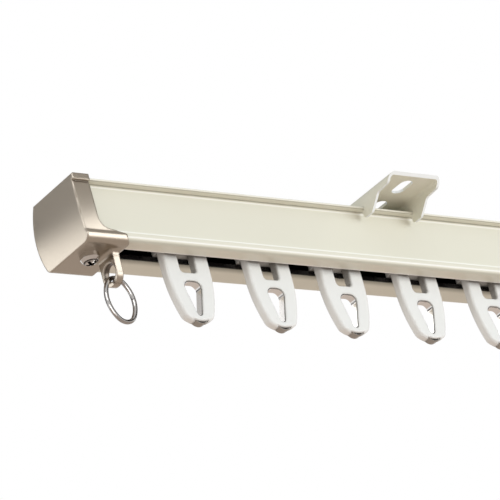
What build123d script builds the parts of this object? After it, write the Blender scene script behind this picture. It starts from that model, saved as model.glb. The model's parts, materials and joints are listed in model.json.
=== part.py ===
from build123d import *
from math import atan2, degrees
import os

# A ceiling curtain track: an extruded rail with a black liner, cast end caps with rings, gliding runners
# and a pressed ceiling bracket. Millimetres. X runs along the rail, Y goes back from the room, Z is up.
# The origin lies on the ceiling, midway between the two screw slots of the bracket.

# Bracket, pressed from sheet
bracket_width = 23.9
bracket_length = 43.4
bracket_front = 15.8
bracket_depth = 4.85
sheet = 1.0
bend_radius = 2.2
screw_slot_length = 9.2
screw_slot_width = 5.2
screw_slot_spacing = 15.0
lip_setback = 17.6
flange_front_drop = 3.3
flange_front_slant = 3.0
flange_dip = 3.75
flange_dip_reach = 8.7
flange_radius = 2.0
claw_radius = 1.2
claw_drop = 4.1
claw_length = 3.3
claw_hook = 1.1
claw_hook_radius = 1.0
tongue_width = 10.0
tongue_hook = 1.3

# Rail section: depths run back from the lip's front edge
rail_length = 273.6
rail_height = 22.8
rail_wall = 1.2
lip_reach = 2.9
lip_thickness = 0.8
lip_edge_radius = 0.3
face_lean = 0.8
face_hollow = 0.4
crease_rise = 3.9
nose_setback = 0.1
nose_rise = 3.1
nose_radius = 1.6
nose_edge_radius = 0.5
slot_setback = 5.9
slot_width = 6.8
rear_lip_depth = 22.1
groove_depth = 1.8
groove_height = 1.8
shoulder_depth = 23.4
back_depth = 25.6
foot_depth = 22.5
foot_radius = 1.0

# Liner
liner_thickness = 0.6
liner_lip = 0.3
liner_lip_rise = 0.2

# End cap: a collar over the rail, a longer foot below, and the eye lug
cap_end_wall = 2.0
cap_top_wall = 1.1
cap_lip_wall = 0.6
cap_lip_thickness = 2.3
cap_groove_depth = 1.0
cap_groove_height = 0.8
cap_strip_setback = 0.75
cap_strip_hollow = 0.3
cap_nose_wall = 1.0
cap_nose_radius = 2.7
cap_nose_rise = 2.9
cap_crease_rise = 4.5
cap_crease_setback = 0.7
cap_foot_wall = 1.4
cap_back_wall = 1.2
cap_rear_radius = 2.4
collar_length = 6.9
foot_length = 17.4
foot_wall_rise = 5.1
foot_tip_rise = 3.2
foot_flare_radius = 4.4
foot_slope = 8.0
foot_front_corner = 1.6
foot_rear_corner = 2.0
cap_edge_radius = 0.5
lug_setback = 14.2
lug_thickness = 2.6
lug_depth = 8.3
lug_length = 11.5
lug_forward = 0.6
lug_root_radius = 1.8
lug_eye_radius = 3.0
lug_eye_drop = 6.6
lug_eye_chamfer = 0.5

# Cap screw, and the plate inside the channel that it draws down on the slot's edges
screw_setback = 6.9
screw_head_radius = 3.4
screw_head_height = 3.6
screw_head_rim = 1.6
screw_shank_radius = 1.3
screw_shank_end = 1.0
recess_width = 1.1
recess_span = 3.9
recess_depth = 1.3
recess_turn = 30.0
nut_length = 9.0
nut_wing = 1.6
nut_thickness = 2.0

# Ring
ring_wire = 1.6
ring_width = 10.9
ring_height = 16.3
ring_end_radius = 4.0
ring_gap = 0.25
ring_tilt = 4.0
ring_play = 0.45

# Runner and its steel eye: each runner stands at a share of the half run between the caps' feet
runner_shares = (-0.7625, -0.4668, -0.1983, 0.0942, 0.3717, 0.6161, 0.8344)
runner_width = 19.4
runner_depth = 3.6
head_height = 3.2
head_wing = 1.3
head_corner = 1.8
window_width = 6.7
window_drop = 5.6
window_radius = 1.2
window_rounding = 0.9
leg_straight = 4.5
tip_width = 12.0
tip_shoulder = 22.4
tip_radius = 2.6
body_drop = 24.5
body_rounding = 1.2
eye_top = 9.2
eye_width = 8.0
eye_corner = 2.2
eye_bottom = 24.4
eye_tip_radius = 0.9
eye_shoulder = 21.2
eye_band = 0.9
eye_band_width = 2.8
eye_drop = 25.1
rim_inset = 0.25
rim_rounding = 0.3
eye_foot_width = 7.0
eye_foot_rounding = 0.5

# Clearances
fit_gap = 0.05
glide_gap = 0.3
hang_gap = 0.1

# Places worked out from the sizes above
half_rail = rail_length / 2
cap_end = half_rail + cap_end_wall
run_half = cap_end - foot_length
lip_y = lip_setback - bracket_front
rail_top = -bracket_depth - fit_gap
rail_bottom = rail_top - rail_height
floor_top = rail_bottom + rail_wall
face_y = lip_y + lip_reach
crease_y = face_y - face_lean
crease_z = rail_bottom + crease_rise
face_mid_z = (rail_top - lip_thickness + crease_z) / 2
nose_y = lip_y + nose_setback
slot_front = lip_y + slot_setback
slot_mid = slot_front + slot_width / 2
shoulder_z = rail_top - lip_thickness - groove_height
groove_y = lip_y + rear_lip_depth - groove_depth
back_mid_z = (rail_top + rail_bottom) / 2
cap_front = lip_y - cap_lip_wall
cap_top = rail_top + cap_top_wall
cap_bottom = rail_bottom - cap_foot_wall
cap_nose_y = nose_y - cap_nose_wall
lug_x = cap_end - lug_setback
lug_y = slot_mid - lug_forward
lug_eye_z = cap_bottom - lug_eye_drop
ring_pivot_z = lug_eye_z - lug_eye_radius + ring_wire / 2 + ring_play
screw_x = cap_end - screw_setback
liner_floor = floor_top + fit_gap + liner_thickness
nut_top = liner_floor + nut_thickness
head_bottom = liner_floor + glide_gap

os.makedirs("parts", exist_ok=True)


def save(piece, node):
    piece.part.label = node
    export_step(piece.part, f"parts/{node}.step")


# Section outlines, drawn with Y to the right and Z up
with BuildSketch() as rail_outline:
    with BuildLine():
        lip = Polyline(
            (groove_y, rail_top - lip_thickness),
            (lip_y + rear_lip_depth, rail_top - lip_thickness),
            (lip_y + rear_lip_depth, rail_top),
            (lip_y, rail_top),
            (lip_y, rail_top - lip_thickness),
            (face_y, rail_top - lip_thickness),
        )
        face = ThreePointArc(
            lip @ 1, ((face_y + crease_y) / 2 + face_hollow, face_mid_z), (crease_y, crease_z)
        )
        nose = Polyline(face @ 1, (nose_y, rail_bottom + nose_rise), (nose_y, rail_bottom))
        foot = Line(nose @ 1, (lip_y + foot_depth, rail_bottom))
        back = ThreePointArc(
            foot @ 1, (lip_y + back_depth, back_mid_z), (lip_y + shoulder_depth, shoulder_z)
        )
        Polyline(back @ 1, (groove_y, shoulder_z), lip @ 0)
    make_face()
    fillet([v for v in vertices() if v.X == lip_y], lip_edge_radius)
    fillet(rail_outline.vertices().sort_by_distance((nose_y, rail_bottom + nose_rise))[0], nose_edge_radius)
    fillet(rail_outline.vertices().group_by(Axis.Y)[0].sort_by(Axis.X)[0], nose_radius)
    fillet(rail_outline.vertices().group_by(Axis.Y)[0].sort_by(Axis.X)[-1], foot_radius)

with BuildSketch() as channel:
    with BuildLine():
        roof = Polyline(
            (groove_y - rail_wall, shoulder_z - rail_wall),
            (groove_y - rail_wall, rail_top - rail_wall),
            (face_y + rail_wall, rail_top - rail_wall),
        )
        front = ThreePointArc(
            roof @ 1,
            ((face_y + crease_y) / 2 + face_hollow + rail_wall, face_mid_z),
            (crease_y + rail_wall, crease_z),
        )
        floor = Polyline(
            front @ 1, (crease_y + rail_wall, floor_top), (lip_y + foot_depth - rail_wall / 2, floor_top)
        )
        rear = ThreePointArc(
            floor @ 1,
            (lip_y + back_depth - rail_wall, back_mid_z),
            (lip_y + shoulder_depth - rail_wall, shoulder_z - rail_wall),
        )
        Line(rear @ 1, roof @ 0)
    make_face()

with BuildSketch() as cap_outline:
    with BuildLine():
        collar = Polyline(
            (lip_y + rear_lip_depth + cap_back_wall, cap_top),
            (cap_front, cap_top),
            (cap_front, cap_top - cap_lip_thickness),
            (cap_front + cap_groove_depth, cap_top - cap_lip_thickness),
            (cap_front + cap_strip_setback, cap_top - cap_lip_thickness - cap_groove_height),
        )
        strip = ThreePointArc(
            collar @ 1,
            (
                (cap_front + cap_strip_setback + cap_nose_y) / 2 + cap_strip_hollow,
                (cap_top + cap_bottom) / 2,
            ),
            (cap_nose_y + cap_crease_setback, cap_bottom + cap_crease_rise),
        )
        sole = Polyline(
            strip @ 1,
            (cap_nose_y, cap_bottom + cap_nose_rise),
            (cap_nose_y, cap_bottom),
            (lip_y + foot_depth + cap_back_wall, cap_bottom),
        )
        ThreePointArc(sole @ 1, (lip_y + back_depth + cap_back_wall, back_mid_z), collar @ 0)
    make_face()
    fillet(cap_outline.vertices().group_by(Axis.Y)[0].sort_by(Axis.X)[0], cap_nose_radius)
    fillet(cap_outline.vertices().group_by(Axis.Y)[0].sort_by(Axis.X)[-1], cap_rear_radius)

# Rail: the outline less the channel and the slot
with BuildPart() as rail:
    with BuildSketch(Plane.YZ.offset(-half_rail)):
        add(rail_outline.sketch)
        add(channel.sketch, mode=Mode.SUBTRACT)
        with Locations((slot_mid, rail_bottom)):
            Rectangle(slot_width, 2 * rail_wall, mode=Mode.SUBTRACT)
    extrude(amount=rail_length)
save(rail, "rail")

# Liner: a thin sleeve that follows the channel and turns down at both edges of the slot
with BuildPart() as liner:
    with BuildSketch(Plane.YZ.offset(-half_rail)):
        offset(channel.sketch, amount=-fit_gap, kind=Kind.INTERSECTION)
        offset(
            channel.sketch, amount=-fit_gap - liner_thickness, kind=Kind.INTERSECTION, mode=Mode.SUBTRACT
        )
        with Locations((slot_mid, rail_bottom + liner_lip_rise)):
            Rectangle(
                slot_width - 2 * fit_gap,
                rail_wall - liner_lip_rise + fit_gap + liner_thickness,
                align=(Align.CENTER, Align.MIN),
            )
            Rectangle(
                slot_width - 2 * (fit_gap + liner_lip),
                2 * (rail_wall + liner_thickness),
                align=(Align.CENTER, Align.MIN),
                mode=Mode.SUBTRACT,
            )
    extrude(amount=rail_length)
save(liner, "quiet_liner")

# End cap: a solid of the cap's outline, trimmed to a short collar that sweeps down into the foot, with
# soft edges, then bored out for the rail
foot_end = -cap_end + foot_length
flare_x = -cap_end + collar_length + foot_flare_radius
flare_z = cap_bottom + foot_wall_rise + foot_flare_radius
with BuildPart() as end_cap:
    with BuildSketch(Plane.YZ.offset(-cap_end)):
        add(cap_outline.sketch)
    extrude(amount=foot_length)
    with BuildSketch(Plane.XZ) as trim:
        with BuildLine():
            flare = CenterArc((flare_x, flare_z), foot_flare_radius, 180, 90 - foot_slope)
            swoop = TangentArc(flare @ 1, (foot_end, cap_bottom + foot_tip_rise), tangent=flare % 1)
            Polyline(swoop @ 1, (foot_end, cap_top), (-cap_end + collar_length, cap_top), flare @ 0)
        make_face()
    extrude(amount=bracket_length, both=True, mode=Mode.SUBTRACT)
    for corner_y, corner_radius, inward in (
        (cap_nose_y, foot_front_corner, 1),
        (lip_y + back_depth + cap_back_wall, foot_rear_corner, -1),
    ):
        with BuildSketch(Plane.XY.offset(cap_bottom)):
            with Locations((foot_end - corner_radius / 2, corner_y + inward * corner_radius / 2)):
                Rectangle(corner_radius, corner_radius)
            with Locations((foot_end - corner_radius, corner_y + inward * corner_radius)):
                Circle(corner_radius, mode=Mode.SUBTRACT)
        extrude(amount=foot_wall_rise, mode=Mode.SUBTRACT)
    fillet(faces().sort_by(Axis.X)[0].edges(), cap_edge_radius)
    with BuildSketch(Plane.YZ.offset(-half_rail)):
        offset(rail_outline.sketch, amount=fit_gap, kind=Kind.INTERSECTION)
    extrude(amount=foot_length, mode=Mode.SUBTRACT)
    with BuildSketch(Plane.YZ.offset(-lug_x - lug_thickness / 2)):
        with Locations((lug_y, cap_bottom - lug_length)):
            Rectangle(lug_depth, lug_length + cap_foot_wall / 2, align=(Align.CENTER, Align.MIN))
        fillet(
            [v for v in vertices() if v.Y < cap_bottom - lug_length / 2],
            lug_depth / 2 - hang_gap,
        )
        with Locations((lug_y, lug_eye_z)):
            Circle(lug_eye_radius, mode=Mode.SUBTRACT)
    extrude(amount=lug_thickness)
    eye_rims = edges().filter_by(GeomType.CIRCLE)
    chamfer([e for e in eye_rims if abs(e.radius - lug_eye_radius) < fit_gap], lug_eye_chamfer)
    lug_root = [
        e
        for e in edges().filter_by(GeomType.LINE).filter_by_position(Axis.Z, cap_bottom, cap_bottom)
        if abs(e.center().X + lug_x) < lug_thickness and abs(e.center().Y - lug_y) < lug_depth
    ]
    fillet(lug_root, lug_root_radius)
    with BuildSketch(Plane.XY.offset(cap_bottom)):
        with Locations((-screw_x, slot_mid)):
            Circle(screw_shank_radius + fit_gap)
    extrude(amount=cap_foot_wall, mode=Mode.SUBTRACT)
save(end_cap, "end_cap_left")

with BuildPart() as end_cap_right:
    mirror(end_cap.part, about=Plane.YZ)
save(end_cap_right, "end_cap_right")

# Cap screw: a domed pan head with a cross recess, and a shank up through the foot, the slot and the plate
with BuildPart() as cap_screw:
    with BuildSketch(Plane.XZ.offset(-slot_mid)):
        with BuildLine():
            stem = Polyline(
                (-screw_x, nut_top + screw_shank_end),
                (-screw_x + screw_shank_radius, nut_top + screw_shank_end),
                (-screw_x + screw_shank_radius, cap_bottom),
                (-screw_x + screw_head_radius, cap_bottom),
                (-screw_x + screw_head_radius, cap_bottom - screw_head_rim),
            )
            dome = TangentArc((-screw_x, cap_bottom - screw_head_height), stem @ 1, tangent=(1, 0))
            Line(dome @ 0, stem @ 0)
        make_face()
    revolve(axis=Axis((-screw_x, slot_mid, 0), (0, 0, 1)))
    with BuildSketch(Plane.XY.offset(cap_bottom - screw_head_height)):
        with Locations((-screw_x, slot_mid)):
            Rectangle(recess_span, recess_width, rotation=recess_turn)
            Rectangle(recess_width, recess_span, rotation=recess_turn)
    extrude(amount=recess_depth, mode=Mode.SUBTRACT)
save(cap_screw, "cap_screw_left")

with BuildPart() as cap_screw_right:
    mirror(cap_screw.part, about=Plane.YZ)
save(cap_screw_right, "cap_screw_right")

# Clamp nut: a plate across the slot, lying on the liner inside the channel
with BuildPart() as clamp_nut:
    with BuildSketch(Plane.XY.offset(liner_floor)):
        with Locations((-screw_x, slot_mid)):
            Rectangle(nut_length, slot_width + 2 * nut_wing)
            Circle(screw_shank_radius + fit_gap, mode=Mode.SUBTRACT)
    extrude(amount=nut_thickness)
save(clamp_nut, "clamp_nut_left")

with BuildPart() as clamp_nut_right:
    mirror(clamp_nut.part, about=Plane.YZ)
save(clamp_nut_right, "clamp_nut_right")

# Ring: round wire bent to an oval of four tangent arcs, hung in the eye, with its butt joint on one side
side_rise = ring_height / 2 - ring_end_radius
side_radius = (ring_width**2 / 4 + side_rise**2 - ring_end_radius**2) / (ring_width - 2 * ring_end_radius)
side_x = ring_width / 2 - side_radius
side_turn = degrees(atan2(side_rise, -side_x))
gap_turn = degrees(ring_gap / 2 / side_radius)
with BuildPart() as ring:
    with BuildLine(Plane.XZ) as oval:
        CenterArc((side_x, -ring_height / 2), side_radius, gap_turn, side_turn - gap_turn)
        CenterArc((0, -ring_end_radius), ring_end_radius, side_turn, 180 - 2 * side_turn)
        CenterArc((-side_x, -ring_height / 2), side_radius, 180 - side_turn, 2 * side_turn)
        CenterArc((0, ring_end_radius - ring_height), ring_end_radius, 180 + side_turn, 180 - 2 * side_turn)
        CenterArc((side_x, -ring_height / 2), side_radius, -side_turn, side_turn - gap_turn)
    with BuildSketch(Plane(oval.line @ 0, z_dir=oval.line % 0)):
        Circle(ring_wire / 2)
    sweep(path=oval.line)

with BuildPart() as ring_left:
    add(ring.part.rotate(Axis.Y, -ring_tilt).translate((-lug_x, lug_y, ring_pivot_z)))
save(ring_left, "ring_left")

with BuildPart() as ring_right:
    mirror(ring_left.part, about=Plane.YZ)
save(ring_right, "ring_right")

# Ceiling bracket: a folded channel cut to the side outline, with two slots and a spring tongue behind
with BuildPart() as bracket:
    with BuildSketch(Plane.XZ.offset(bracket_front)):
        with BuildLine():
            FilletPolyline(
                (-bracket_width / 2 + sheet / 2, -bracket_depth - claw_drop - sheet),
                (-bracket_width / 2 + sheet / 2, -sheet / 2),
                (bracket_width / 2 - sheet / 2, -sheet / 2),
                (bracket_width / 2 - sheet / 2, -bracket_depth - claw_drop - sheet),
                radius=bend_radius - sheet / 2,
            )
        trace(line_width=sheet)
    extrude(amount=-bracket_length)
    with BuildSketch(Plane.YZ):
        with BuildLine():
            edge = FilletPolyline(
                (-bracket_front, 0),
                (-bracket_front + flange_front_slant, -flange_front_drop),
                (lip_y - flange_dip_reach, -flange_dip),
                (lip_y - claw_length, -bracket_depth - claw_drop),
                (lip_y + claw_hook, -bracket_depth - claw_drop),
                (lip_y + claw_hook, rail_top - lip_thickness - hang_gap),
                radius=(flange_radius, flange_radius, claw_radius, claw_hook_radius),
            )
            Polyline(
                edge @ 1,
                (lip_y - hang_gap, rail_top - lip_thickness - hang_gap),
                (lip_y - hang_gap, -bracket_depth),
                (lip_y + rear_lip_depth, -bracket_depth),
                (bracket_length - bracket_front, -sheet),
                (bracket_length - bracket_front, 0),
                edge @ 0,
            )
        make_face()
    extrude(amount=bracket_width, both=True, mode=Mode.INTERSECT)
    with BuildSketch(Plane.XY):
        with GridLocations(0, screw_slot_spacing, 1, 2):
            SlotOverall(screw_slot_length, screw_slot_width, rotation=90)
    extrude(amount=-sheet, mode=Mode.SUBTRACT)
    with BuildSketch(Plane.YZ.offset(-tongue_width / 2)):
        tongue_y = lip_y + rear_lip_depth + hang_gap
        hook_z = rail_top - lip_thickness - hang_gap
        with BuildLine():
            Polyline(
                ((screw_slot_spacing + screw_slot_length) / 2, 0),
                ((screw_slot_spacing + screw_slot_length) / 2, -sheet),
                (tongue_y, -sheet),
                (tongue_y, hook_z),
                (tongue_y - tongue_hook, hook_z),
                (tongue_y - tongue_hook, hook_z - sheet),
                (tongue_y + sheet, hook_z - sheet),
                (tongue_y + sheet, 0),
                close=True,
            )
        make_face()
    extrude(amount=tongue_width)
save(bracket, "ceiling_bracket")

# Runner: drawn below the rail's underside, on the middle plane of the slot
runner_plane = Plane(origin=(0, slot_mid, rail_bottom), x_dir=(1, 0, 0), z_dir=(0, -1, 0))

with BuildSketch() as eye_hole:
    with BuildLine():
        Polyline((-eye_width / 2, -eye_top), (eye_width / 2, -eye_top), (0, -eye_bottom), close=True)
    make_face()
    fillet(vertices().group_by(Axis.Y)[-1], eye_corner)
    fillet(vertices().sort_by(Axis.Y)[0], eye_tip_radius)

with BuildSketch() as eye_outline:
    offset(eye_hole.sketch, amount=eye_band)
    with BuildLine():
        shoe = ThreePointArc(
            (eye_foot_width / 2, -eye_shoulder), (0, -eye_drop), (-eye_foot_width / 2, -eye_shoulder)
        )
        Line(shoe @ 1, shoe @ 0)
    make_face()

# Steel eye: a band that lines the hole, thickest at its foot, where it shows below the moulding
with BuildPart() as eye:
    with BuildSketch(runner_plane):
        add(eye_outline.sketch)
        add(eye_hole.sketch, mode=Mode.SUBTRACT)
    extrude(amount=eye_band_width / 2, both=True)
    foot_rims = faces().sort_by(Axis.Z)[0].edges().filter_by(GeomType.CIRCLE)
    fillet(foot_rims, eye_foot_rounding)

# Moulded runner: a rounded tapered body with two legs up through the slot to a head in the rail
with BuildPart() as runner:
    with BuildSketch(runner_plane):
        with BuildLine():
            right = Line((runner_width / 2, head_bottom - rail_bottom), (runner_width / 2, -leg_straight))
            taper = TangentArc(right @ 1, (tip_width / 2, -tip_shoulder), tangent=(0, -1))
            tip = ThreePointArc(taper @ 1, (0, -body_drop), (-tip_width / 2, -tip_shoulder))
            rise = TangentArc((-runner_width / 2, -leg_straight), tip @ 1, tangent=(0, -1))
            Polyline(rise @ 0, (-runner_width / 2, head_bottom - rail_bottom), right @ 0)
        make_face()
        fillet(vertices().group_by(Axis.Y)[0], tip_radius)
    extrude(amount=runner_depth / 2, both=True)
    broad_faces = [faces().sort_by(Axis.Y)[0], faces().sort_by(Axis.Y)[-1]]
    fillet([e for face in broad_faces for e in face.edges().sort_by(Axis.Z)[:-1]], body_rounding)
    with BuildSketch(runner_plane):
        with Locations((0, -window_drop)):
            RectangleRounded(
                window_width,
                2 * (window_drop + head_bottom - rail_bottom),
                window_radius,
                align=(Align.CENTER, Align.MIN),
            )
    extrude(amount=runner_depth / 2, both=True, mode=Mode.SUBTRACT)
    broad_faces = [faces().sort_by(Axis.Y)[0], faces().sort_by(Axis.Y)[-1]]
    window_sill = rail_bottom - window_drop - fit_gap
    window_rims = [
        e
        for face in broad_faces
        for e in face.edges()
        if abs(e.center().X) < window_width / 2 + fit_gap and e.center().Z > window_sill
    ]
    fillet(window_rims, window_rounding)
    with BuildSketch(runner_plane):
        offset(eye_hole.sketch, amount=rim_inset)
    extrude(amount=runner_depth / 2, both=True, mode=Mode.SUBTRACT)
    broad_faces = [faces().sort_by(Axis.Y)[0], faces().sort_by(Axis.Y)[-1]]
    fillet([e for face in broad_faces for wire in face.inner_wires() for e in wire.edges()], rim_rounding)
    with BuildSketch(runner_plane):
        offset(eye_outline.sketch, amount=fit_gap)
    extrude(amount=eye_band_width / 2 + fit_gap, both=True, mode=Mode.SUBTRACT)
    with BuildSketch(Plane.XY.offset(head_bottom)):
        with Locations((0, slot_mid)):
            RectangleRounded(runner_width, slot_width + 2 * head_wing, head_corner)
    extrude(amount=head_height)

for number, share in enumerate(runner_shares, start=1):
    place = share * run_half
    with BuildPart() as runner_body:
        add(runner.part.translate((place, 0, 0)))
    save(runner_body, f"runner_body_{number}")
    with BuildPart() as runner_eye:
        add(eye.part.translate((place, 0, 0)))
    save(runner_eye, f"runner_eye_{number}")
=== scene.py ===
import bpy
import json
from math import cos, pi, radians, sin, tan
from mathutils import Matrix, Vector


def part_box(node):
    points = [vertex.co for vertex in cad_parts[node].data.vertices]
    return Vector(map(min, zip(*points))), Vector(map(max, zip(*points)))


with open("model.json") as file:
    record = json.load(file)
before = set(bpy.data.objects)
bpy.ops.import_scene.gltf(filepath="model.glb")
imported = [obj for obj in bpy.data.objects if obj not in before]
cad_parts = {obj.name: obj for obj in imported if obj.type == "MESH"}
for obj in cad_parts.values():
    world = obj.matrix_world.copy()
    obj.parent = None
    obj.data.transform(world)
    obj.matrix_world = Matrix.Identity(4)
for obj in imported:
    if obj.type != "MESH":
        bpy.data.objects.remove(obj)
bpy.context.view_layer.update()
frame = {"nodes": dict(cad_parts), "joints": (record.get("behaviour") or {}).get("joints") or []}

# Viewing place: a long lens on a rolled camera looks up along the track from in front of its left end,
# below ceiling height, as a catalogue picture of such a track is taken.
view_turn = radians(42.85)
view_rise = radians(24.07)
view_roll = radians(15.43)
eye_place = Vector((-0.8081, -0.7938, -0.5118))
look = Vector((sin(view_turn) * cos(view_rise), cos(view_turn) * cos(view_rise), sin(view_rise)))
level = Vector((cos(view_turn), -sin(view_turn), 0))
side = level * cos(view_roll) - level.cross(look) * sin(view_roll)
top = side.cross(look)
camera = bpy.data.objects.new("camera", bpy.data.cameras.new("camera"))
camera.data.sensor_width = 36
camera.data.lens = 252
camera.matrix_world = Matrix.Translation(eye_place) @ Matrix((side, top, -look)).transposed().to_4x4()
bpy.context.scene.collection.objects.link(camera)
bpy.context.scene.camera = camera
bpy.context.scene.view_settings.view_transform = "Standard"

# Ceiling bracket: sheet steel, coated beige before it is cut and pressed to a shallow channel, so its cut
# edges are bare steel; their near-white colour is also a painted highlight. It is screwed to the ceiling. Its
# claws hook the rail's lip, and a tongue at the back holds the rail's other edge.
nodes = frame["nodes"]


class Wire:
    """One output of a material's nodes: arithmetic on it adds Math nodes, and node() adds any other."""

    def __init__(self, tree, socket=None):
        self.tree = tree
        self.socket = socket

    def node(self, kind, settings=None, sockets=None, output=0):
        made = self.tree.nodes.new(kind)
        for name, setting in (settings or {}).items():
            setattr(made, name, setting)
        for key, value in (sockets or {}).items():
            self.feed(made.inputs[key], value)
        return Wire(self.tree, made.outputs[output])

    def feed(self, socket, value):
        if isinstance(value, Wire):
            self.tree.links.new(value.socket, socket)
        else:
            socket.default_value = value

    def maths(self, operation, first, second=0.0):
        return self.node("ShaderNodeMath", {"operation": operation}, {0: first, 1: second})

    def __add__(self, other):
        return self.maths("ADD", self, other)

    def __sub__(self, other):
        return self.maths("SUBTRACT", self, other)

    def __rsub__(self, other):
        return self.maths("SUBTRACT", other, self)

    def __mul__(self, other):
        return self.maths("MULTIPLY", self, other)

    def __abs__(self):
        return self.maths("ABSOLUTE", self)

    __radd__ = __add__
    __rmul__ = __mul__

    def larger(self, other):
        return self.maths("MAXIMUM", self, other)

    def between(self, low, high):
        """0 up to low, 1 from high, and a soft step from one to the other. Low may lie past high."""
        ends = {"Value": self, "From Min": low, "From Max": high}
        return self.node("ShaderNodeMapRange", {"interpolation_type": "SMOOTHSTEP"}, ends)

    def near(self, middle, reach):
        """1 at middle, and softly down to 0 at that reach on either side."""
        return 1 - abs(self - middle).between(0, reach)

    def mix(self, low, high):
        """A colour between low and high, by this value."""
        return self.node("ShaderNodeMix", {"data_type": "RGBA"}, {"Factor": self, 6: low, 7: high}, 2)


class Finish:
    """A material with its place on the piece, its noises, and its shader."""

    def __init__(self, name):
        self.material = bpy.data.materials.new(name)
        self.material.use_nodes = True
        tree = self.material.node_tree
        self.shader = tree.nodes["Principled BSDF"]
        self.start = Wire(tree)
        self.place = self.start.node("ShaderNodeTexCoord", output="Object")

    def facing(self, axis):
        """How far the surface faces along that axis, from 0 to 1 on either side."""
        normal = self.start.node("ShaderNodeTexCoord", output="Normal")
        return abs(self.start.node("ShaderNodeSeparateXYZ", {}, {"Vector": normal}, axis))

    def along(self, axis):
        """The place along that axis, in millimetres."""
        return 1000 * self.start.node("ShaderNodeSeparateXYZ", {}, {"Vector": self.place}, axis)

    def noise(self, waves, detail=2.0, stretch=(1, 1, 1)):
        """A soft noise from 0 to 1, of that many waves a metre, or fewer along an axis by its stretch."""
        spread = self.start.node(
            "ShaderNodeVectorMath", {"operation": "MULTIPLY"}, {0: self.place, 1: stretch}
        )
        return self.start.node("ShaderNodeTexNoise", {}, {"Vector": spread, "Scale": waves, "Detail": detail})

    def open_to(self, distance):
        """How open the surface is, from 0 to 1, counting the piece's own walls within that distance."""
        settings = {"samples": 8, "only_local": True}
        return self.start.node("ShaderNodeAmbientOcclusion", settings, {"Distance": distance}, "AO")

    def bump(self, height, strength, distance, rounding=0.0):
        """A normal that follows height, in metres of distance, with edges softened by that rounding."""
        sockets = {"Height": height, "Strength": strength, "Distance": distance}
        if rounding:
            sockets["Normal"] = self.start.node("ShaderNodeBevel", {"samples": 6}, {"Radius": rounding})
        return self.start.node("ShaderNodeBump", {}, sockets)

    def set(self, **sockets):
        for key, value in sockets.items():
            self.start.feed(self.shader.inputs[key.replace("_", " ")], value)

    def coat(self, *names):
        for name in names:
            nodes[name].data.materials.clear()
            nodes[name].data.materials.append(self.material)


beige_dark = (0.72, 0.715, 0.605, 1)
beige_light = (0.785, 0.78, 0.67, 1)
bare_steel_and_highlight = (0.86, 0.90, 0.90, 1)
bend_bottom = -3.0
tongue_front = 20
tongue_top = -1.2
bracket_coat = Finish("bracket_coat")
bracket_level = bracket_coat.along("Z")
# Cut edges: bare steel, painted near white, which is also a painted highlight.
below_bend = bracket_level.between(bend_bottom + 0.1, bend_bottom - 0.1)
flange_edge = below_bend * (1 - bracket_coat.facing("X").between(0.3, 0.6))
front_edge = bracket_coat.facing("Y").between(0.1, 0.25)
on_tongue = bracket_coat.along("Y").between(tongue_front, tongue_front + 1)
on_tongue = on_tongue * bracket_level.between(tongue_top + 0.1, tongue_top - 0.1)
cut_edge_and_highlight = flange_edge.larger(front_edge) * (1 - on_tongue)
bracket_coat.set(
    Base_Color=cut_edge_and_highlight.mix(bracket_coat.noise(90, detail=3).mix(beige_dark, beige_light), bare_steel_and_highlight),
    Roughness=0.3 + 0.1 * bracket_coat.noise(260) - 0.1 * cut_edge_and_highlight,
    Normal=bracket_coat.bump(bracket_coat.noise(1600), strength=0.1, distance=0.00004),
)
bracket_coat.coat("ceiling_bracket")

# Rail: an aluminium extrusion with a cream coat, with faint lines along it from the die. Its front edges
# carry painted highlights, and painted shade darkens the coat under the lip, round the nose and along the
# slot's rear edge. The bracket's claws hold it by the lip.
cream_dark = (0.755, 0.745, 0.635, 1)
cream_light = (0.785, 0.775, 0.665, 1)
painted_shade_colour = (0.26, 0.255, 0.20, 1)
painted_highlight_colour = (0.97, 0.965, 0.91, 1)
rail_low, rail_high = [1000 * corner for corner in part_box("rail")]
lip_edge = 0.3
lip_reach = 2.9
lip_bottom = rail_high.z - 0.8
face_top = lip_bottom - 0.9
crease = rail_low.z + 4.5
nose_turn = rail_low.z + 1.5
nose_bottom = rail_low.z + 0.4
nose_depth = 0.8
front_depth = 8
slot_front = 5.7
slot_rear = 12.7
slot_shade_reach = 3.4
edge_width = 0.5
rail_coat = Finish("rail_coat")
rail_depth = rail_coat.along("Y") - rail_low.y
rail_level = rail_coat.along("Z")
upright = rail_coat.facing("Y").between(0.2, 0.6)
underside = rail_level.between(rail_low.z + 1, rail_low.z)
in_front = upright * (1 - rail_depth.between(front_depth, front_depth + 1))
# Painted highlights: bright lines on the lip's front, along the face's top, at the crease and nose, and at
# the slot's front edge.
highlight_lip_lines = 0.3 * rail_level.between(lip_bottom - 0.1, lip_bottom + 0.1)
highlight_lip_lines = highlight_lip_lines + rail_level.near(face_top, edge_width)
highlight_nose_lines = rail_level.near(crease, edge_width) + rail_level.near(nose_turn, edge_width)
highlight_slot_line = (1 - upright) * underside * rail_depth.near(slot_front, 0.8)
painted_highlights = in_front * (highlight_lip_lines + highlight_nose_lines) + highlight_slot_line
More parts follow.
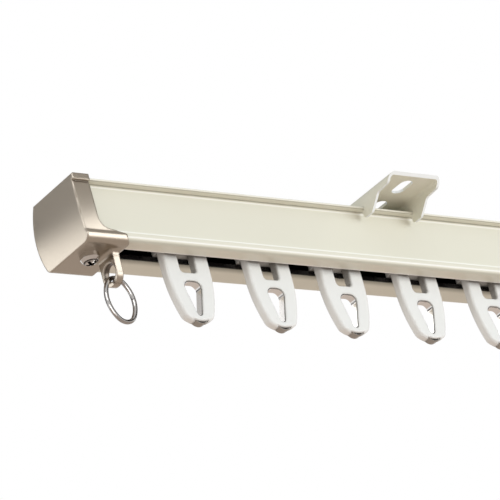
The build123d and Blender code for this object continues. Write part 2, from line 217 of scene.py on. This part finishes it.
# Painted shade: darker under the lip, round the nose's bottom and along the slot's rear edge.
lip_corner = rail_depth.near(lip_reach, 0.5) + (1 - upright) * rail_depth.near(lip_edge, 0.6)
lip_shade = rail_level.near(lip_bottom, 0.5) * lip_corner
nose_shade = rail_level.near(nose_bottom, 0.7) * rail_depth.near(nose_depth, 1.2)
slot_shade = rail_depth.between(slot_rear - 1, slot_rear)
slot_shade = slot_shade * (1 - rail_depth.between(slot_rear, slot_rear + slot_shade_reach)) * underside
shaded = 0.5 * lip_shade + 0.4 * nose_shade + 0.8 * slot_shade
die_lines = rail_coat.noise(700, stretch=(0.01, 1, 1))
cream = rail_coat.noise(35, detail=3).mix(cream_dark, cream_light)
rail_coat.set(
    Base_Color=painted_highlights.mix(shaded.mix(cream, painted_shade_colour), painted_highlight_colour),
    Roughness=0.26 + 0.06 * die_lines - 0.1 * painted_highlights,
    Normal=rail_coat.bump(die_lines + 0.5 * rail_coat.noise(1500), strength=0.03, distance=0.00002),
)
rail_coat.coat("rail")

# Liner: a black plastic strip on which the runners glide quietly. It is extruded, polished along its length
# by use, and slid into the rail from one end.
black_dark = (0.010, 0.010, 0.011, 1)
black_light = (0.020, 0.019, 0.020, 1)
liner_plastic = Finish("liner_plastic")
liner_plastic.set(
    Base_Color=liner_plastic.noise(120).mix(black_dark, black_light),
    Roughness=0.12 + 0.12 * liner_plastic.noise(400, stretch=(0.05, 1, 1)),
)
liner_plastic.coat("quiet_liner")

# Runners: glossy white plastic, each moulded in one piece with a head in the rail, two legs through the slot
# and an eye below. Edges are rounded by the mould, and painted shade greys the narrow window and eye.
white_dark = (0.815, 0.83, 0.81, 1)
white_light = (0.855, 0.87, 0.85, 1)
hollow_painted_shade = (0.25, 0.245, 0.23, 1)
hollow_reach = 0.008
runner_plastic = Finish("runner_plastic")
runner_white = runner_plastic.noise(150).mix(white_dark, white_light)
# Painted shade: hollows that the piece's own walls close in are coloured grey.
runner_open = runner_plastic.open_to(hollow_reach).between(0.55, 0.95)
runner_plastic.set(
    Base_Color=runner_open.mix(hollow_painted_shade, runner_white),
    Roughness=0.16 + 0.1 * runner_plastic.noise(300),
    Normal=runner_plastic.bump(runner_plastic.noise(350), strength=0.1, distance=0.0001, rounding=0.0009),
)
runner_plastic.coat(*[name for name in nodes if name.startswith("runner_body")])

# Eye linings: strips of bright plated steel, bent to the runners' eyes and pressed in, so that the curtain's
# hooks don't wear the plastic. The plate is coloured darker at the bottom of the eye.
plate_dark = (0.80, 0.785, 0.765, 1)
plate_light = (0.86, 0.845, 0.825, 1)
low_plate_colour = (0.40, 0.38, 0.35, 1)
low_plate_top = 1000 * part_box("runner_eye_1")[0].z + 2
eye_plate = Finish("eye_plate")
# The plate's colour is darker below this height.
above_low_plate = eye_plate.along("Z").between(low_plate_top - 0.5, low_plate_top + 0.5)
eye_plate.set(
    Base_Color=above_low_plate.mix(low_plate_colour, eye_plate.noise(200).mix(plate_dark, plate_light)),
    Metallic=1.0,
    Roughness=0.14 + 0.1 * eye_plate.noise(500, detail=3),
)
eye_plate.coat(*[name for name in nodes if name.startswith("runner_eye")])

# Rings: steel wire, bent to an oval and plated bright. They hang loose in the eyes of the end caps' lugs and
# take the curtain's end hooks.
ring_dark = (0.40, 0.387, 0.372, 1)
ring_light = (0.46, 0.445, 0.43, 1)
ring_plate = Finish("ring_plate")
ring_plate.set(
    Base_Color=ring_plate.noise(200).mix(ring_dark, ring_light),
    Metallic=1.0,
    Roughness=0.06 + 0.06 * ring_plate.noise(500, detail=3),
)
ring_plate.coat("ring_left", "ring_right")

# Cap screws: pan-head steel screws, bright plated like the rings, driven up through the caps' feet. Painted
# shade darkens the punched cross recess.
steel_dark = (0.60, 0.58, 0.555, 1)
steel_light = (0.66, 0.645, 0.62, 1)
recess_painted_shade = (0.07, 0.06, 0.055, 1)
recess_reach = 2.6
recess_depth = 0.7
screw_low, screw_high = [1000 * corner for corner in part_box("cap_screw_right")]
screw_middle = (screw_low + screw_high) / 2
screw_plate = Finish("screw_plate")
off_across = abs(screw_plate.along("X")) - screw_middle.x
off_along = screw_plate.along("Y") - screw_middle.y
off_axis = off_across * off_across + off_along * off_along
sunk = screw_plate.along("Z").between(screw_low.z + recess_depth / 2, screw_low.z + recess_depth)
# Painted shade: the cross recess is coloured dark.
recess = sunk * (1 - off_axis.between(recess_reach ** 2 - 0.5, recess_reach ** 2))
screw_plate.set(
    Base_Color=recess.mix(screw_plate.noise(200).mix(steel_dark, steel_light), recess_painted_shade),
    Metallic=1.0,
    Roughness=0.08 + 0.06 * screw_plate.noise(500, detail=3) + 0.3 * recess,
)
screw_plate.coat("cap_screw_left", "cap_screw_right")

# Clamp nuts: plain steel plates inside the rail, cut from strip and tapped. The cap screws draw them down on
# the slot's edges.
nut_dark = (0.45, 0.45, 0.45, 1)
nut_light = (0.55, 0.55, 0.54, 1)
nut_steel = Finish("nut_steel")
nut_steel.set(
    Base_Color=nut_steel.noise(300).mix(nut_dark, nut_light),
    Metallic=1.0,
    Roughness=0.35 + 0.15 * nut_steel.noise(400),
)
nut_steel.coat("clamp_nut_left", "clamp_nut_right")

# End caps: castings over the rail's ends, plated in satin nickel, with a soft grain from tumbling. Painted
# shade darkens the grooves and the inside of the lugs' eyes. Each is held by its cap screw.
nickel_dark = (0.43, 0.385, 0.325, 1)
nickel_light = (0.47, 0.425, 0.36, 1)
groove_painted_shade = (0.16, 0.14, 0.115, 1)
lug_eye_painted_shade = (0.15, 0.13, 0.11, 1)
groove_reach = 0.0025
lug_eye_radius = 3.0
lug_eye_rim = 3.5
lug_eye_height = 4.9
lug_eye_level = 1000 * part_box("end_cap_left")[0].z + lug_eye_height
ring_pivot = [joint["pos_m"] for joint in frame["joints"] if joint["name"] == "ring_left_swing"][0]
satin_nickel = Finish("satin_nickel")
off_back = satin_nickel.along("Y") - 1000 * ring_pivot[1]
off_down = satin_nickel.along("Z") - lug_eye_level
off_eye = off_back * off_back + off_down * off_down
# Painted shade: the lugs' eyes and the grooves, found by ambient occlusion, are darkened.
eye_wall = 1 - off_eye.between(lug_eye_radius ** 2, lug_eye_rim ** 2)
cap_open = satin_nickel.open_to(groove_reach).between(0.3, 0.85)
nickel = cap_open.mix(groove_painted_shade, satin_nickel.noise(60, detail=3).mix(nickel_dark, nickel_light))
satin_grain = satin_nickel.noise(900, detail=3)
satin_nickel.set(
    Base_Color=eye_wall.mix(nickel, lug_eye_painted_shade),
    Metallic=1.0,
    Roughness=0.26 + 0.08 * satin_grain,
    Normal=satin_nickel.bump(satin_grain, strength=0.1, distance=0.00004, rounding=0.0007),
)
satin_nickel.coat("end_cap_left", "end_cap_right")

# Room: a pale floor far below the track and a white background all round. A soft lamp stands in front and a
# weaker one at the left. Cards and lamps that only glossy surfaces see give the metal and the coats their
# dark and bright sides.
floor_drop = 2.3
floor_width = 28
pale_floor = (0.95, 0.95, 0.94, 1)
floor_glow = (0.2, 0.2, 0.2, 1)
warm_bounce = (0.80, 0.68, 0.60, 1)
ambient = 0.74
track_middle = Vector((-0.03, 0.01, -0.02))
end_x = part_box("end_cap_left")[0].x
left_end = Vector((end_x, 0.012, -0.016))
left_strip = Vector((end_x + 0.0038, 0.001, -0.016))


def dull(name, colour):
    """A dull finish in one colour."""
    finish = Finish(name)
    finish.set(Base_Color=colour, Roughness=0.8)
    return finish


def plane(name, place, width, height, finish):
    """A flat rectangle about that place, which isn't part of the object."""
    outline = ((-1, -1), (1, -1), (1, 1), (-1, 1))
    corners = [place @ Vector((x * width / 2, y * height / 2, 0)) for x, y in outline]
    mesh = bpy.data.meshes.new(name)
    mesh.from_pydata(corners, [], [(0, 1, 2, 3)])
    mesh.materials.append(finish.material)
    piece = bpy.data.objects.new(name, mesh)
    bpy.context.scene.collection.objects.link(piece)
    return piece


def stand(aim, turn, rise, distance, lean=0, lift=0):
    """A place that faces aim, at a turn from +X to +Y and a rise in degrees, then leaned and lifted."""
    flat = cos(radians(rise))
    outward = Vector((cos(radians(turn)) * flat, sin(radians(turn)) * flat, sin(radians(rise))))
    facing = outward.to_track_quat("Z", "Y").to_matrix().to_4x4() @ Matrix.Rotation(radians(lean), 4, "Z")
    return Matrix.Translation(aim + outward * distance) @ facing @ Matrix.Translation((0, lift, 0))


def lamp(name, place, width, height, glow):
    """A soft rectangular lamp. Its glow is its radiance, where the background's is 1."""
    light = bpy.data.lights.new(name, "AREA")
    light.shape = "RECTANGLE"
    light.size = width
    light.size_y = height
    light.energy = glow * width * height * pi
    holder = bpy.data.objects.new(name, light)
    holder.matrix_world = place
    holder.visible_camera = False
    bpy.context.scene.collection.objects.link(holder)
    return holder


def sheen_lamp(name, place, width, height, glow, receivers=None, beam=180):
    """A lamp that shows only in glossy surfaces, those of all pieces or of the receivers, within its beam."""
    holder = lamp(name, place, width, height, glow)
    holder.data.spread = radians(beam)
    holder.visible_diffuse = False
    holder.light_linking.receiver_collection = receivers


def sheen_card(name, place, width, height, colour):
    """A card that shows only in glossy surfaces."""
    card = plane(name, place, width, height, dull(name, colour))
    card.visible_camera = False
    card.visible_diffuse = False
    card.visible_shadow = False


def only(*names):
    """The nodes that a lamp is for."""
    group = bpy.data.collections.new(names[0])
    for name in names:
        group.objects.link(nodes[name])
    return group


def shown(start):
    """1 for the rays that show the background: the camera's, and those off metal or through glass."""
    kinds = ("Is Camera Ray", "Is Glossy Ray", "Is Transmission Ray")
    camera_ray, glossy_ray, glass_ray = [start.node("ShaderNodeLightPath", output=kind) for kind in kinds]
    return camera_ray.larger(glossy_ray).larger(glass_ray)


floor_finish = dull("floor", warm_bounce)
floor_shown = shown(floor_finish.start)
floor_finish.set(
    Base_Color=floor_shown.mix(warm_bounce, pale_floor),
    Emission_Color=floor_shown.mix((0, 0, 0, 1), floor_glow),
    Emission_Strength=1.0,
)
floor_place = stand(Vector(), turn=0, rise=-90, distance=floor_drop)
plane("floor", floor_place, floor_width, floor_width, floor_finish)
warm_place = stand(Vector(), turn=0, rise=-90, distance=floor_drop - 0.1)
sheen_card("warm_card", warm_place, floor_width, floor_width, warm_bounce)

world = bpy.data.worlds.new("room")
world.use_nodes = True
bpy.context.scene.world = world
room = Wire(world.node_tree)
backdrop = world.node_tree.nodes["Background"].inputs
room.feed(backdrop["Strength"], ambient + (1 - ambient) * shown(room))
room.feed(backdrop["Color"], (1, 1, 1, 1))

front_place = stand(track_middle, turn=-60, rise=4, distance=1.4)
front_lamp = lamp("front_lamp", front_place, width=1.2, height=0.6, glow=4.6)
front_lamp.visible_glossy = False
front_lamp.data.color = (0.94, 1.0, 1.04)
left_place = stand(track_middle, turn=-170, rise=-10, distance=1.0)
left_fill = lamp("left_fill", left_place, width=0.8, height=0.5, glow=0.9)
left_fill.visible_glossy = False
corner_place = stand(track_middle, turn=-137, rise=24, distance=1.2)
sheen_lamp("corner_sheen", corner_place, width=0.4, height=0.4, glow=5.0)

caps = only("end_cap_left", "end_cap_right")
end_low = stand(left_end, turn=133, rise=24, distance=0.06, lean=13, lift=-0.0265)
end_high = stand(left_end, turn=133, rise=24, distance=0.06, lean=13, lift=0.054)
sheen_lamp("end_sheen", end_low, width=0.14, height=0.047, glow=0.26, receivers=caps, beam=60)
sheen_card("end_card", end_high, width=0.16, height=0.1, colour=(0.54, 0.54, 0.54, 1))
strip_low = stand(left_strip, turn=-47, rise=26, distance=0.05, lift=-0.018)
strip_high = stand(left_strip, turn=-47, rise=26, distance=0.05, lift=0.052)
sheen_lamp("strip_sheen", strip_low, width=0.06, height=0.03, glow=0.33, receivers=caps, beam=60)
sheen_card("strip_card", strip_high, width=0.07, height=0.1, colour=(0.75, 0.75, 0.75, 1))
roll_place = stand(left_end, turn=-54, rise=-6, distance=0.5)
sheen_lamp("roll_sheen", roll_place, width=0.3, height=0.24, glow=2.3, receivers=caps)

bracket = only("ceiling_bracket")
bracket_place = stand(Vector(), turn=-37, rise=-38, distance=0.6)
sheen_lamp("bracket_sheen", bracket_place, width=0.4, height=0.4, glow=1.0, receivers=bracket)
eyes = only(*[name for name in nodes if name.startswith("runner_eye")])
eyes_place = stand(track_middle, turn=112, rise=42, distance=1.2)
sheen_lamp("eye_sheen", eyes_place, width=0.6, height=0.6, glow=2.2, receivers=eyes)
rings = only("ring_left", "ring_right")
rings_place = stand(left_end, turn=-130, rise=-12, distance=0.6)
sheen_lamp("ring_sheen", rings_place, width=0.3, height=0.3, glow=4.4, receivers=rings)
screws = only("cap_screw_left", "cap_screw_right")
screws_place = stand(left_end, turn=5, rise=-50, distance=0.3)
sheen_lamp("screw_sheen", screws_place, width=0.12, height=0.12, glow=4.0, receivers=screws)

screen_panels = 7
panel_turn = 30
screen_turn = 47
screen_rise = 33
screen_distance = 1.6
screen_height = 1.5
screen_grey = (0.1, 0.1, 0.1, 1)
panel_width = 2 * screen_distance * tan(radians(panel_turn / 2))
for panel in range(screen_panels):
    turn = screen_turn + panel_turn * (panel - (screen_panels - 1) / 2)
    panel_place = stand(track_middle, turn, screen_rise, screen_distance)
    sheen_card(f"screen_{panel}", panel_place, panel_width, screen_height, screen_grey)
